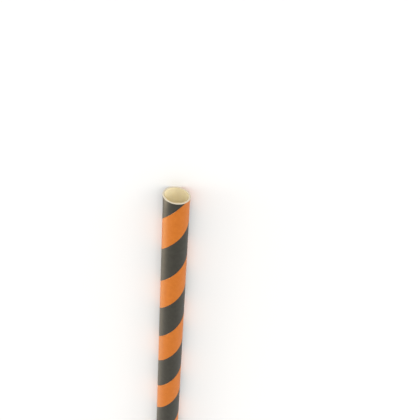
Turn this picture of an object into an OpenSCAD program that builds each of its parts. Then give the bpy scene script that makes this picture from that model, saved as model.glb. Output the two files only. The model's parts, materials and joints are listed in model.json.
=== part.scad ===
// Spiral-wound paper drinking straw, lying on its side along X.
// Three plies of paper tape are wound at one lead and glued into a single tube.
// The edges of the outer tape, and of the inner one, meet in a fine helical seam.

/* [Straw] */
// Length from end to end
straw_length = 197; // [120:1:260]
// Outside diameter
straw_d = 6; // [5:0.5:12]
// Depth of the slight flat that the thin wall lies on
rest_flat = 0.06; // [0.03:0.01:0.08]

/* [Paper] */
// Thickness of the printed outer ply
outer_ply = 0.1; // [0.06:0.01:0.2]
// Thickness of the middle ply
middle_ply = 0.2; // [0.1:0.01:0.4]
// Thickness of the inner ply
inner_ply = 0.1; // [0.06:0.01:0.2]

/* [Winding] */
// Length of straw that one turn of tape covers
winding_lead = 20; // [12:0.5:40]
// Gap between neighbouring turns of one tape, measured round the straw
seam_gap = 0.12; // [0.06:0.01:0.3]
// Angle of the outer seam at the mouth, round from the top
outer_seam_angle = -38; // [-180:1:180]
// Angle of the inner seam at the mouth, round from the top
inner_seam_angle = 87; // [-180:1:180]

/* [Hidden] */

outer_r = straw_d / 2;
bore_r = outer_r - outer_ply - middle_ply - inner_ply;
axis_z = outer_r - rest_flat;

// How far a cut runs past the face that it opens
overcut = 1;
cut_length = straw_length + 2 * overcut;

// Straight steps in one turn of a seam
seam_steps = 24;

// Sides of a circle
circle_sides = 96;

// One seam: a strip between two radii, wound right-handed from the mouth to the far end
module seam_cut(inside_r, outside_r, mouth_angle) {
    turns = cut_length / winding_lead;
    start_angle = mouth_angle - 360 * overcut / winding_lead;
    translate([0, 0, -overcut])
        rotate(start_angle)
            linear_extrude(height = cut_length, twist = -360 * turns, slices = ceil(turns * seam_steps))
                translate([inside_r, -seam_gap / 2])
                    square([outside_r - inside_r, seam_gap]);
}

// The glued wall with its bore, standing on the mouth
module wound_tube() {
    difference() {
        cylinder(r = outer_r, h = straw_length, $fn = circle_sides);
        translate([0, 0, -overcut])
            cylinder(r = bore_r, h = cut_length, $fn = circle_sides);
        seam_cut(outer_r - outer_ply, outer_r + overcut, outer_seam_angle);
        seam_cut(bore_r - overcut, bore_r + inner_ply, inner_seam_angle);
    }
}

// All that would reach below the ground
module below_ground() {
    translate([-cut_length / 2, -straw_d / 2, -straw_d])
        cube([cut_length, straw_d, straw_d]);
}

// The straw at rest: the mouth at +X, and the slight flat of the wall on the ground
module straw() {
    color("darkorange")
        difference() {
            translate([straw_length / 2, 0, axis_z])
                rotate([0, -90, 0])
                    wound_tube();
            below_ground();
        }
}

straw();
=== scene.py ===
# A spiral-wound paper straw with orange and black stripes, lying on a pale floor.
import json
import math

import bmesh
import bpy
from mathutils import Matrix, Vector


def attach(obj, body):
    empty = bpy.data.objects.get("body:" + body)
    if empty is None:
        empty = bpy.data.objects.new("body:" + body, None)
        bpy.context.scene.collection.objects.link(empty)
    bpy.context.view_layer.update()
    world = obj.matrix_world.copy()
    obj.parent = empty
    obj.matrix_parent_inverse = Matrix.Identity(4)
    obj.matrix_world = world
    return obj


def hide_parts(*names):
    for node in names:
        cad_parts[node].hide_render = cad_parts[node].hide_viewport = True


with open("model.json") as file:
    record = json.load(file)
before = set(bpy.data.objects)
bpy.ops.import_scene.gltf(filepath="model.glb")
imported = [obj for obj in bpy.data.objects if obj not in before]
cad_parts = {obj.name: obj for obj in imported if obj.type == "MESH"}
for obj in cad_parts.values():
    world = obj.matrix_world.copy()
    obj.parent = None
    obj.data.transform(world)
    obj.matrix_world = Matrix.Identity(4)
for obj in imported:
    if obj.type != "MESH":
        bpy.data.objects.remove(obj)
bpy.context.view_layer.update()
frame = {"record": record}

# Sizes are in millimetres up to the point where they are handed to Blender
MM = 0.001
TURN = 2 * math.pi

# The tube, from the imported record
mounts = {mount["name"]: mount for mount in frame["record"]["mounts"]}
LENGTH = mounts["bore"]["dims"]["length_mm"]
BORE_R = mounts["bore"]["dims"]["r_mm"]
OUTER_R = mounts["outer_wall"]["dims"]["r_mm"]
MIDDLE_R = (OUTER_R + BORE_R) / 2
AXIS_Z = mounts["bore"]["pos_m"][2] / MM
MOUTH_X = LENGTH / 2

# The winding: one turn of tape covers LEAD, and the angles are those of the seams at the mouth
LEAD = 20.0
OUTER_SEAM_ANGLE = math.radians(-38)
INNER_SEAM_ANGLE = math.radians(87)
OUTER_PLY = 0.1
INNER_PLY = 0.1

# A seam from its middle to where the tape is whole: (distance as a share of the gap, depth)
SEAM_GAP = 0.12
SEAM_DEPTH = 0.08
SEAM_LIP = 0.02
SEAM_PROFILE = ((0.0, SEAM_DEPTH), (0.35, SEAM_DEPTH), (0.5, SEAM_LIP), (0.75, 0.0))

# The print: the share of the lead that is orange, the rest being black, and how far the edge of the ink
# strays, as a share of the lead. Waves are given as (height, rate, phase).
ORANGE_SHARE = 0.475
PRINT_STRAY = 0.0008
PRINT_WAVES = ((1.0, 1.7, 0), (0.6, 5.3, 1), (0.4, 12.1, 2))

# The outer face sinks over the seam of the ply below, whose place and width are shares of the lead, and it
# swells a little, in waves given as (height, rate along the tape, change of phase across it)
BURIED_SEAM_SHARE = 0.36
BURIED_SEAM_WIDTH = 0.02
BURIED_SEAM_DEPTH = 0.010
SWELLS = ((0.004, 0.83, 0.0), (0.003, 2.1, 9.0))

# The cut ends: a worn edge, fine lines where the plies meet, and a rim that isn't quite flat
EDGE_WEAR = 0.03
EDGE_LENGTH = 0.05
PLY_LINE = 0.03
RIM_WAVE = 0.008
RIM_WAVES = ((1.0, 7, 1), (0.7, 19, 0), (0.5, 41, 2))

# The oval that the cutter leaves: its growth and its lean at the end, and the length over which they fade
SPREAD = 0.04
LEAN = 0.06
SPREAD_LENGTH = 2.5

# Mesh resolution, with rings near each end that carry its worn edge and its oval shape
TURN_STEPS = 120
BAND_COLUMNS = 8
RIM_STEPS = 180
END_RINGS = (EDGE_LENGTH, 0.12, 0.3, 0.6, 0.9, 1.3, 1.7, 2.1, SPREAD_LENGTH)
SHARP_ANGLE = math.radians(40)

# Turns of tape beyond the straw's own length, and how many of them come before the mouth
SPARE_TURNS = 3
TURNS_BEFORE = 2

# How close a point is to a cut, or to an end, to count as on it
CUT_TOLERANCE = 1e-6
END_TOLERANCE = 1e-4

# Maps of the straw: millimetres on the tape, which carry the print, and places on the square of baked images
TAPE_MAP = "tape"
BAKE_MAP = "OFBake"

# The unrolled straw on the square of baked images, in shares of its side. Each skin is cut into pages of
# tape, laid one above another in an area given by its left, bottom, width and height. Each rim has a centre.
PAGES = 6
PAGE_GAP = 0.015
OUTER_PAGES = (0.01, 0.01, 0.69, 0.98)
INNER_PAGES = (0.72, 0.16, 0.27, 0.83)
MOUTH_RIM = (0.78, 0.08)
FAR_RIM = (0.92, 0.08)
RIM_SCALE = 0.022

# Face materials of the straw
ORANGE, BLACK, PAPER, CUT_EDGE = range(4)

# Colours of the inks: where they are thick, where they are thin and where they are rubbed off, and the tint
# of their gloss
ORANGE_INK = {
    "thick": (0.53, 0.146, 0.018),
    "thin": (0.61, 0.184, 0.026),
    "rubbed": (0.72, 0.34, 0.12),
    "gloss": (1, 1, 0.6),
}
BLACK_INK = {
    "thick": (0.036, 0.035, 0.029),
    "thin": (0.054, 0.053, 0.044),
    "rubbed": (0.12, 0.11, 0.09),
    "gloss": (1, 0.92, 0.86),
}

# Colours of bare paper: the darker and the lighter
INSIDE_TONES = ((0.87, 0.77, 0.52), (0.935, 0.85, 0.62))
# The cut ends take a darker copy of the inside's paper: painted shade that tempers the front light falling
# squarely on the rim
SHADED_CUT_EDGE_TONES = ((0.52, 0.465, 0.36), (0.62, 0.565, 0.46))

# Texture of the paper, in waves per millimetre, and the octaves that each kind has
PRINT_CLOUDS = 0.9
PAPER_CLOUDS = 1.2
FIBRES = 9.0
SPECKS = 7.0
RUBBING = 3.0
PRINT_CLOUD_DETAIL = 4.0
PAPER_CLOUD_DETAIL = 3.0
FIBRE_DETAIL = 2.0
SPECK_DETAIL = 2.0
RUBBING_DETAIL = 4.0

# Paper fibres: how many times longer than wide, the directions they cross in, in degrees, and their height
FIBRE_SHAPE = 7.0
FIBRE_TURNS = (15, 70, 130)
FIBRE_HEIGHT = 0.02

# Levels of a texture between which a colour or a roughness changes, and the share of the fibres in a colour
CLOUD_LEVELS = (0.3, 0.7)
FIBRE_LEVELS = (0.45, 0.75)
ROUGHNESS_LEVELS = (0.4, 0.8)
FIBRE_SHARE = 0.5

# Specks that took no ink: the levels of their texture, and how bare the paper is there
SPECK_LEVELS = (0.70, 0.80)
SPECK_BARENESS = 0.7

# Rubbed edges of the print: how far in the rubbing can reach, the depths between which the ink goes, and how
# bare the paper is then
TAPE_EDGE_WEAR = {"reach": 0.25, "depths": (0.06, 0.12), "bareness": 0.5}
CUT_END_WEAR = {"reach": 0.6, "depths": (0.10, 0.25), "bareness": 0.8}

# Finish: the range of roughness, the strength of the fibres' bump, and the specular level
PRINT_FINISH = {"roughness": (0.38, 0.48), "bump": 0.2, "specular": 0.14}
PAPER_FINISH = {"roughness": (0.78, 0.9), "bump": 0.3, "specular": 0.25}

# The floor, with half its side in metres
FLOOR_HALF = 3.0
FLOOR_COLOUR = (0.92, 0.93, 0.95)
FLOOR_ROUGHNESS = 0.9

# Light of the surroundings: its strength round the horizon and overhead, and the heights that it changes
# between, from 0 at the horizon to 1 overhead
WARM_WHITE = (1.0, 0.98, 0.94)
HORIZON = 1.4
OVERHEAD = 0.83
SKY_HEIGHTS = (0.1, 0.6)

# Lights from far away: the angle round from the mouth's side, the height above the floor and the spread, all
# in degrees, and the strength
LEFT_LIGHT = (90, 12, 35, 0.84)
RIGHT_LIGHT = (-60, 15, 35, 0.36)
FRONT_LIGHT = (0, 35, 35, 0.83)
SHEEN_LIGHT = (105, 0.5, 4, 25.0)
SHEEN_COLOUR = (1.0, 0.84, 0.58)

# The camera's place from the mouth's centre, and its target on the floor, which is behind the mouth and to
# its right in the picture
CAMERA_BEYOND_MOUTH = 128.72
CAMERA_ABOVE_AXIS = 149.9
TARGET_BEHIND_MOUTH = 6.51
TARGET_TO_RIGHT = 7.68
PICTURE_UP = (1, 0.056, 0)
LENS = 77.37
SENSOR_WIDTH = 36.0
NEAREST_SEEN = 10


# Shape of the straw

def wave_height(place, waves):
    """Height of several waves together at a place."""
    return sum(height * math.sin(rate * place + phase) for height, rate, phase in waves)


def relief(share, along):
    """Height of the outer face above the true cylinder."""
    from_seam = (share - BURIED_SEAM_SHARE) / BURIED_SEAM_WIDTH
    buried_seam = -BURIED_SEAM_DEPTH * math.exp(-from_seam ** 2)
    swells = [(height, rate, turned * share) for height, rate, turned in SWELLS]
    return buried_seam + wave_height(along, swells)


def no_relief(share, along):
    """The inner face is even, because it was wound on a smooth rod."""
    return 0.0


def print_edge(along):
    """How far the edge of the orange ink strays at a place along the tape, as a share of the lead."""
    return PRINT_STRAY * wave_height(along, PRINT_WAVES)


def rim_wave(angle):
    """How far the rim lies from a flat cut."""
    return RIM_WAVE * wave_height(angle, RIM_WAVES)


def seam_half(radius):
    """(share of the lead, depth) of the lines from the middle of a seam to where the tape is whole."""
    gap_share = SEAM_GAP / (TURN * radius)
    return [(distance * gap_share, depth) for distance, depth in SEAM_PROFILE]


def outer_lines():
    """The helical lines of the outer face: (share of the lead, depth, material after the line)."""
    half = seam_half(OUTER_R)
    lip = half[-1][0]
    lines = [(share, depth, ORANGE) for share, depth in half[:-1]]
    for start, end, material in ((lip, ORANGE_SHARE, ORANGE), (ORANGE_SHARE, 1 - lip, BLACK)):
        for k in range(BAND_COLUMNS):
            lines.append((start + (end - start) * k / BAND_COLUMNS, 0.0, material))
    lines += [(1 - share, depth, BLACK) for share, depth in reversed(half[1:])]
    return lines


def inner_lines():
    """The helical lines of the inner face, in bare paper throughout."""
    half = seam_half(BORE_R)
    lip = half[-1][0]
    lines = [(share, -depth, PAPER) for share, depth in half[:-1]]
    for k in range(BAND_COLUMNS):
        lines.append((lip + (1 - 2 * lip) * k / BAND_COLUMNS, 0.0, PAPER))
    lines += [(1 - share, -depth, PAPER) for share, depth in reversed(half[1:])]
    return lines


def on_page(area, page, along, across):
    """Place on the bake map of a point of the tape, given as shares of its page's length and width."""
    left, bottom, width, height = area
    up = (page + PAGE_GAP + (1 - 2 * PAGE_GAP) * across) / PAGES
    return left + width * along, bottom + height * up


def wind_skin(bm, radius, seam_angle, lines, height, area):
    """Winds one face of the tube as a right-handed helical strip, longer than the straw at both ends."""
    tape_map = bm.loops.layers.uv[TAPE_MAP]
    bake_map = bm.loops.layers.uv[BAKE_MAP]
    columns = len(lines)
    rows = math.ceil((LENGTH / LEAD + SPARE_TURNS) * TURN_STEPS)
    page_rows = math.ceil(rows / PAGES)
    pitch = math.atan2(LEAD, TURN * radius)
    verts = []
    for row in range(rows + TURN_STEPS):
        angle = TURN * (row / TURN_STEPS - TURNS_BEFORE)
        turned = angle + seam_angle
        for share, depth, _ in lines:
            if share == ORANGE_SHARE:
                share += print_edge(radius * angle)
            distance = LEAD * (angle / TURN + share)
            along = radius * angle * math.cos(pitch) + distance * math.sin(pitch)
            r = radius - depth + height(share, along)
            verts.append(bm.verts.new((MOUTH_X - distance, r * math.sin(turned), r * math.cos(turned))))
    for row in range(rows - 1):
        page = row // page_rows
        for column, (share, _, material) in enumerate(lines):
            corner = row * columns + column
            if column + 1 < columns:
                after, share_after = corner + 1, lines[column + 1][0]
            else:
                # The last strip ends on the first line of the next turn
                after, share_after = (row + TURN_STEPS) * columns, 1.0
            face = bm.faces.new([verts[i] for i in (corner, after, after + columns, corner + columns)])
            face.material_index = material
            face.smooth = True
            places = ((row, share), (row, share_after), (row + 1, share_after), (row + 1, share))
            for loop, (at_row, at_share) in zip(face.loops, places):
                across = at_share * LEAD * math.cos(pitch)
                along = TURN * radius * at_row / TURN_STEPS / math.cos(pitch)
                along += at_share * LEAD * math.sin(pitch)
                loop[tape_map].uv = (along, across)
                loop[bake_map].uv = on_page(area, page, at_row / page_rows - page, at_share)


def cut(bm, x, outward=None):
    """Cuts the skins square at x, and takes away what lies outward where that is given."""
    bmesh.ops.bisect_plane(
        bm, geom=bm.verts[:] + bm.edges[:] + bm.faces[:], dist=CUT_TOLERANCE,
        plane_co=(x, 0, 0), plane_no=(outward or 1, 0, 0), clear_outer=outward is not None)


def angle_of(vert):
    return math.atan2(vert.co.y, vert.co.z)


def radius_of(vert):
    return math.hypot(vert.co.y, vert.co.z)


def set_radius(vert, r):
    scale = r / radius_of(vert)
    vert.co.y *= scale
    vert.co.z *= scale


def on_rim(rim, vert, r):
    """Place on the bake map of a point at one end, at radius r of the rim that is drawn there."""
    scale = RIM_SCALE * r / radius_of(vert)
    return rim[0] + scale * vert.co.y, rim[1] + scale * vert.co.z


def turn_to_next(ring, i):
    """Angle from the first point of a ring, sorted by angle, to the one after point i."""
    if i + 1 == len(ring):
        return TURN
    return (angle_of(ring[i + 1]) - angle_of(ring[0])) % TURN


def zip_rings(bm, ring, other, material, rim):
    """Fills the band between two closed rings, each sorted by angle, with triangles."""
    bake_map = bm.loops.layers.uv[BAKE_MAP]
    offset = (angle_of(other[0]) - angle_of(ring[0]) + math.pi) % TURN - math.pi
    i = j = 0
    while i < len(ring) or j < len(other):
        a, b = ring[i % len(ring)], other[j % len(other)]
        next_i = turn_to_next(ring, i) if i < len(ring) else math.inf
        next_j = turn_to_next(other, j) + offset if j < len(other) else math.inf
        if next_i <= next_j:
            i += 1
            corners = (a, ring[i % len(ring)], b)
        else:
            j += 1
            corners = (a, other[j % len(other)], b)
        face = bm.faces.new(corners)
        face.material_index = material
        face.smooth = True
        for loop in face.loops:
            loop[bake_map].uv = on_rim(rim, loop.vert, radius_of(loop.vert))


def close_end(bm, x, inward, rim):
    """Closes one cut end with a rim that shows the three plies; rim is its centre on the bake map."""
    at_end = [v for v in bm.verts if abs(v.co.x - x) < END_TOLERANCE]
    outer = sorted((v for v in at_end if radius_of(v) > MIDDLE_R), key=angle_of)
    inner = sorted((v for v in at_end if radius_of(v) < MIDDLE_R), key=angle_of)
    for v in outer:
        set_radius(v, radius_of(v) - EDGE_WEAR)
    for v in inner:
        set_radius(v, radius_of(v) + EDGE_WEAR)
    rings = [outer]
    half_line = PLY_LINE / 2
    for ply_r in (OUTER_R - OUTER_PLY, BORE_R + INNER_PLY):
        for r, depth in ((ply_r + half_line, 0), (ply_r, PLY_LINE), (ply_r - half_line, 0)):
            ring = []
            for k in range(RIM_STEPS):
                angle = TURN * k / RIM_STEPS - math.pi
                level = x + inward * (depth + abs(rim_wave(angle + ply_r)))
                ring.append(bm.verts.new((level, r * math.sin(angle), r * math.cos(angle))))
            rings.append(ring)
    rings.append(inner)
    for ring, other in zip(rings, rings[1:]):
        zip_rings(bm, ring, other, CUT_EDGE, rim)


def wear_edges(bm, x, inward, rim):
    """Takes the print off the last stretch of each skin, which lies along the rim on the bake map."""
    bake_map = bm.loops.layers.uv[BAKE_MAP]
    for face in bm.faces:
        if inward * (face.calc_center_median().x - x) >= EDGE_LENGTH:
            continue
        face.material_index = CUT_EDGE
        for loop in face.loops:
            from_end = inward * (loop.vert.co.x - x)
            drawn_r = OUTER_R + from_end if radius_of(loop.vert) > MIDDLE_R else BORE_R - from_end
            loop[bake_map].uv = on_rim(rim, loop.vert, drawn_r)


def spread_end(bm, x, inward):
    """The cutter leaves an end slightly oval: wider than high, and leaning to one side."""
    for v in bm.verts:
        reach = 1 - inward * (v.co.x - x) / SPREAD_LENGTH
        if reach > 0:
            share = reach ** 2
            y, z = v.co.y, v.co.z
            v.co.y = y * (1 + SPREAD * share) - z * LEAN * share
            v.co.z = z - y * LEAN * share


def straw_mesh():
    """The straw as one closed mesh, in metres, resting on the ground."""
    bm = bmesh.new()
    for name in (TAPE_MAP, BAKE_MAP):
        bm.loops.layers.uv.new(name)
    wind_skin(bm, OUTER_R, OUTER_SEAM_ANGLE, outer_lines(), relief, OUTER_PAGES)
    wind_skin(bm, BORE_R, INNER_SEAM_ANGLE, inner_lines(), no_relief, INNER_PAGES)
    for x, outward in ((MOUTH_X, 1), (-MOUTH_X, -1)):
        cut(bm, x, outward)
        for from_end in END_RINGS:
            cut(bm, x - outward * from_end)
    for x, inward, rim in ((MOUTH_X, -1, MOUTH_RIM), (-MOUTH_X, 1, FAR_RIM)):
        wear_edges(bm, x, inward, rim)
        close_end(bm, x, inward, rim)
        spread_end(bm, x, inward)
    bmesh.ops.recalc_face_normals(bm, faces=bm.faces[:])
    # The thin wall lies flat on the ground
    for v in bm.verts:
        v.co.z = max(v.co.z, -AXIS_Z)
    to_metres = Matrix.Scale(MM, 4) @ Matrix.Translation((0, 0, AXIS_Z))
    bmesh.ops.transform(bm, matrix=to_metres, verts=bm.verts[:])
    mesh = bpy.data.meshes.new("paper_straw")
    bm.to_mesh(mesh)
    bm.free()
    mesh.set_sharp_from_angle(angle=SHARP_ANGLE)
    return mesh


# Materials

class Shader:
    """A material's node tree, with its Principled shader."""

    def __init__(self, name):
        self.material = bpy.data.materials.new(name)
        self.material.use_nodes = True
        self.nodes = self.material.node_tree.nodes
        self.surface = self.nodes["Principled BSDF"]

    def add(self, kind, **values):
        node = self.nodes.new(kind)
        for name, value in values.items():
            setattr(node, name, value)
        return node

    def join(self, output, entry):
        self.material.node_tree.links.new(output, entry)

    def noise(self, places, scale, detail, drawn_out=1.0, turned=0.0):
        """Noise with waves of 1 / scale, drawn out along one direction of the first two coordinates."""
        mapping = self.add("ShaderNodeMapping", vector_type="TEXTURE")
        mapping.inputs["Rotation"].default_value = (0, 0, math.radians(turned))
        mapping.inputs["Scale"].default_value = (drawn_out, 1, 1)
        texture = self.add("ShaderNodeTexNoise")
        texture.inputs["Scale"].default_value = scale
        texture.inputs["Detail"].default_value = detail
        self.join(places, mapping.inputs["Vector"])
        self.join(mapping.outputs["Vector"], texture.inputs["Vector"])
        return texture.outputs["Fac"]

    def reckon(self, operation, *values):
        """The result of a math node; each value is an output or a plain number."""
        node = self.add("ShaderNodeMath", operation=operation)
        for value, entry in zip(values, node.inputs):
            if isinstance(value, bpy.types.NodeSocket):
                self.join(value, entry)
            else:
                entry.default_value = value
        return node.outputs["Value"]

    def part(self, vector, axis):
        """One coordinate of a vector."""
        node = self.add("ShaderNodeSeparateXYZ")
        self.join(vector, node.inputs["Vector"])
        return node.outputs[axis]

    def fibres(self, places, scale):
        """Crossing fibres: the highest of three noises, each drawn out along its own direction."""
        layers = [self.noise(places, scale, FIBRE_DETAIL, FIBRE_SHAPE, turned) for turned in FIBRE_TURNS]
        return self.reckon("MAXIMUM", self.reckon("MAXIMUM", layers[0], layers[1]), layers[2])

    def ramp(self, value, colours, levels):
        """A colour that goes from the first to the second as a value passes between two levels."""
        node = self.add("ShaderNodeValToRGB")
        for element, colour, level in zip(node.color_ramp.elements, colours, levels):
            element.position = level
            element.color = (*colour, 1)
        self.join(value, node.inputs["Fac"])
        return node.outputs["Color"]

    def mix(self, first, second, share):
        """Mixes a colour into another; the second and the share may be outputs or plain values."""
        node = self.add("ShaderNodeMixRGB")
        self.join(first, node.inputs["Color1"])
        for given, entry in ((second, node.inputs["Color2"]), (share, node.inputs["Fac"])):
            if isinstance(given, bpy.types.NodeSocket):
                self.join(given, entry)
            else:
                entry.default_value = given if entry.name == "Fac" else (*given, 1)
        return node.outputs["Color"]

    def spread(self, value, results, levels):
        """A number that goes from the first result to the second as a value passes between two levels."""
        node = self.add("ShaderNodeMapRange")
        node.inputs["From Min"].default_value, node.inputs["From Max"].default_value = levels
        node.inputs["To Min"].default_value, node.inputs["To Max"].default_value = results
        self.join(value, node.inputs["Value"])
        return node.outputs["Result"]

    def paper_colour(self, cloud, fibre, colours):
        """A cloudy colour with fibres in it."""
        clouds = self.ramp(cloud, colours, CLOUD_LEVELS)
        return self.mix(clouds, self.ramp(fibre, colours, FIBRE_LEVELS), FIBRE_SHARE)

    def set_finish(self, colour, fibre, roughness, bump, specular):
        """Gives the surface its colour, and a finish that follows the fibres."""
        raised = self.add("ShaderNodeBump")
        raised.inputs["Strength"].default_value = bump
        raised.inputs["Distance"].default_value = FIBRE_HEIGHT * MM
        self.join(fibre, raised.inputs["Height"])
        self.join(raised.outputs["Normal"], self.surface.inputs["Normal"])
        self.join(colour, self.surface.inputs["Base Color"])
        self.join(self.spread(fibre, roughness, ROUGHNESS_LEVELS), self.surface.inputs["Roughness"])
        self.surface.inputs["Specular IOR Level"].default_value = specular


def rubbed(shader, rubbing, from_edge, reach, depths, bareness):
    """How bare the paper is near one edge, at a distance from it."""
    depth = shader.reckon("SUBTRACT", shader.reckon("MULTIPLY", rubbing, reach), from_edge)
    return shader.spread(depth, (0.0, bareness), depths)


def worn_edges(shader, tape):
    """How bare the paper is: rubbed in places along the edges of the tape, and more at the cut ends."""
    rubbing = shader.noise(tape, RUBBING, RUBBING_DETAIL)
    half_width = LEAD * math.cos(math.atan2(LEAD, TURN * OUTER_R)) / 2
    from_middle = shader.reckon("ABSOLUTE", shader.reckon("SUBTRACT", shader.part(tape, "Y"), half_width))
    from_tape_edge = shader.reckon("SUBTRACT", half_width, from_middle)
    places = shader.add("ShaderNodeTexCoord").outputs["Object"]
    along = shader.reckon("DIVIDE", shader.reckon("ABSOLUTE", shader.part(places, "X")), MM)
    from_end = shader.reckon("SUBTRACT", MOUTH_X, along)
    tape_wear = rubbed(shader, rubbing, from_tape_edge, **TAPE_EDGE_WEAR)
    end_wear = rubbed(shader, rubbing, from_end, **CUT_END_WEAR)
    return shader.reckon("MAXIMUM", tape_wear, end_wear)


def printed_paper(name, ink):
    """Ink on smooth paper: cloudy over fibres, with specks that took no ink, worn edges and tinted gloss."""
    shader = Shader(name)
    tape = shader.add("ShaderNodeUVMap", uv_map=TAPE_MAP).outputs["UV"]
    cloud = shader.noise(tape, PRINT_CLOUDS, PRINT_CLOUD_DETAIL)
    fibre = shader.fibres(tape, FIBRES)
    cover = shader.paper_colour(cloud, fibre, (ink["thick"], ink["thin"]))
    speck = shader.spread(shader.noise(tape, SPECKS, SPECK_DETAIL), (0.0, SPECK_BARENESS), SPECK_LEVELS)
    worn = shader.reckon("MAXIMUM", speck, worn_edges(shader, tape))
    shader.set_finish(shader.mix(cover, ink["rubbed"], worn), fibre, **PRINT_FINISH)
    shader.surface.inputs["Specular Tint"].default_value = (*ink["gloss"], 1)
    return shader.material


def bare_paper(name, tones):
    """Uncoated cream paper, as the inside and the cut ends show it."""
    shader = Shader(name)
    places = shader.add("ShaderNodeTexCoord").outputs["Object"]
    cloud = shader.noise(places, PAPER_CLOUDS / MM, PAPER_CLOUD_DETAIL)
    fibre = shader.fibres(places, FIBRES / MM)
    shader.set_finish(shader.paper_colour(cloud, fibre, tones), fibre, **PAPER_FINISH)
    return shader.material


def floor_paint():
    shader = Shader("pale_floor")
    shader.surface.inputs["Base Color"].default_value = (*FLOOR_COLOUR, 1)
    shader.surface.inputs["Roughness"].default_value = FLOOR_ROUGHNESS
    shader.surface.inputs["Specular IOR Level"].default_value = 0.0
    return shader.material


# Straw and stage

def place_object(name, data):
    """Adds an object to the scene."""
    thing = bpy.data.objects.new(name, data)
    bpy.context.scene.collection.objects.link(thing)
    return thing


def make_straw():
    """The dressed straw, in place of the CAD tube."""
    mesh = straw_mesh()
    # In the order of the face materials
    mesh.materials.append(printed_paper("orange_print", ORANGE_INK))
    mesh.materials.append(printed_paper("black_print", BLACK_INK))
    mesh.materials.append(bare_paper("bare_paper", INSIDE_TONES))
    # The cut ends and the worn strip beside them get the darker paper, as painted shade against the front
    # light
    mesh.materials.append(bare_paper("shaded_cut_edge", SHADED_CUT_EDGE_TONES))
    straw = place_object("paper_straw", mesh)
    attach(straw, "root")
    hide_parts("straw")


def make_floor():
    half = FLOOR_HALF
    corners = [(-half, -half, 0), (half, -half, 0), (half, half, 0), (-half, half, 0)]
    mesh = bpy.data.meshes.new("floor")
    mesh.from_pydata(corners, [], [(0, 1, 2, 3)])
    mesh.materials.append(floor_paint())
    floor = place_object("floor", mesh)


def aim(thing, place, target, up):
    """Puts a camera or light at a place, looking at a target, with up towards the top of its picture."""
    back = (Vector(place) - Vector(target)).normalized()
    right = Vector(up).cross(back).normalized()
    turned = Matrix((right, back.cross(right), back)).transposed().to_4x4()
    thing.matrix_world = Matrix.Translation(place) @ turned


def soft_light(name, turned, height, spread, strength):
    """Light from far away, at an angle round from the mouth's side and a height above the floor."""
    data = bpy.data.lights.new(name, "SUN")
    data.angle = math.radians(spread)
    data.energy = strength
    data.color = WARM_WHITE
    light = place_object(name, data)
    round_angle = math.radians(turned)
    height_angle = math.radians(height)
    level = math.cos(height_angle)
    source = (level * math.cos(round_angle), level * math.sin(round_angle), math.sin(height_angle))
    aim(light, source, (0, 0, 0), (0, 0, 1))
    return light


def make_lights():
    """Soft light from both sides and into the mouth, and a sheen on the left, seen only in reflections."""
    soft_light("left", *LEFT_LIGHT)
    soft_light("right", *RIGHT_LIGHT)
    soft_light("front", *FRONT_LIGHT)
    sheen = soft_light("sheen", *SHEEN_LIGHT)
    sheen.data.color = SHEEN_COLOUR
    sheen.visible_diffuse = False


def make_surroundings():
    """White round the horizon and greyer overhead."""
    world = bpy.data.worlds.new("studio")
    world.use_nodes = True
    nodes = world.node_tree.nodes
    links = world.node_tree.links
    direction = nodes.new("ShaderNodeTexCoord").outputs["Generated"]
    parts = nodes.new("ShaderNodeSeparateXYZ")
    sky = nodes.new("ShaderNodeMapRange")
    sky.inputs["From Min"].default_value, sky.inputs["From Max"].default_value = SKY_HEIGHTS
    sky.inputs["To Min"].default_value = HORIZON
    sky.inputs["To Max"].default_value = OVERHEAD
    links.new(direction, parts.inputs["Vector"])
    links.new(parts.outputs["Z"], sky.inputs["Value"])
    links.new(sky.outputs["Result"], nodes["Background"].inputs["Strength"])
    nodes["Background"].inputs["Color"].default_value = (*WARM_WHITE, 1)
    bpy.context.scene.world = world


def make_camera():
    """Looks down on the mouth from above and beyond it, so that the straw runs down the picture."""
    place = Vector((MOUTH_X + CAMERA_BEYOND_MOUTH, 0, AXIS_Z + CAMERA_ABOVE_AXIS)) * MM
    target = Vector((MOUTH_X - TARGET_BEHIND_MOUTH, -TARGET_TO_RIGHT, 0)) * MM
    data = bpy.data.cameras.new("camera")
    data.sensor_width = SENSOR_WIDTH
    data.lens = LENS
    data.clip_start = NEAREST_SEEN * MM
    camera = place_object("camera", data)
    aim(camera, place, target, PICTURE_UP)
    bpy.context.scene.camera = camera


make_straw()
make_floor()
make_surroundings()
make_lights()
make_camera()
bpy.context.scene.view_settings.view_transform = "Standard"

bpy.context.view_layer.update()
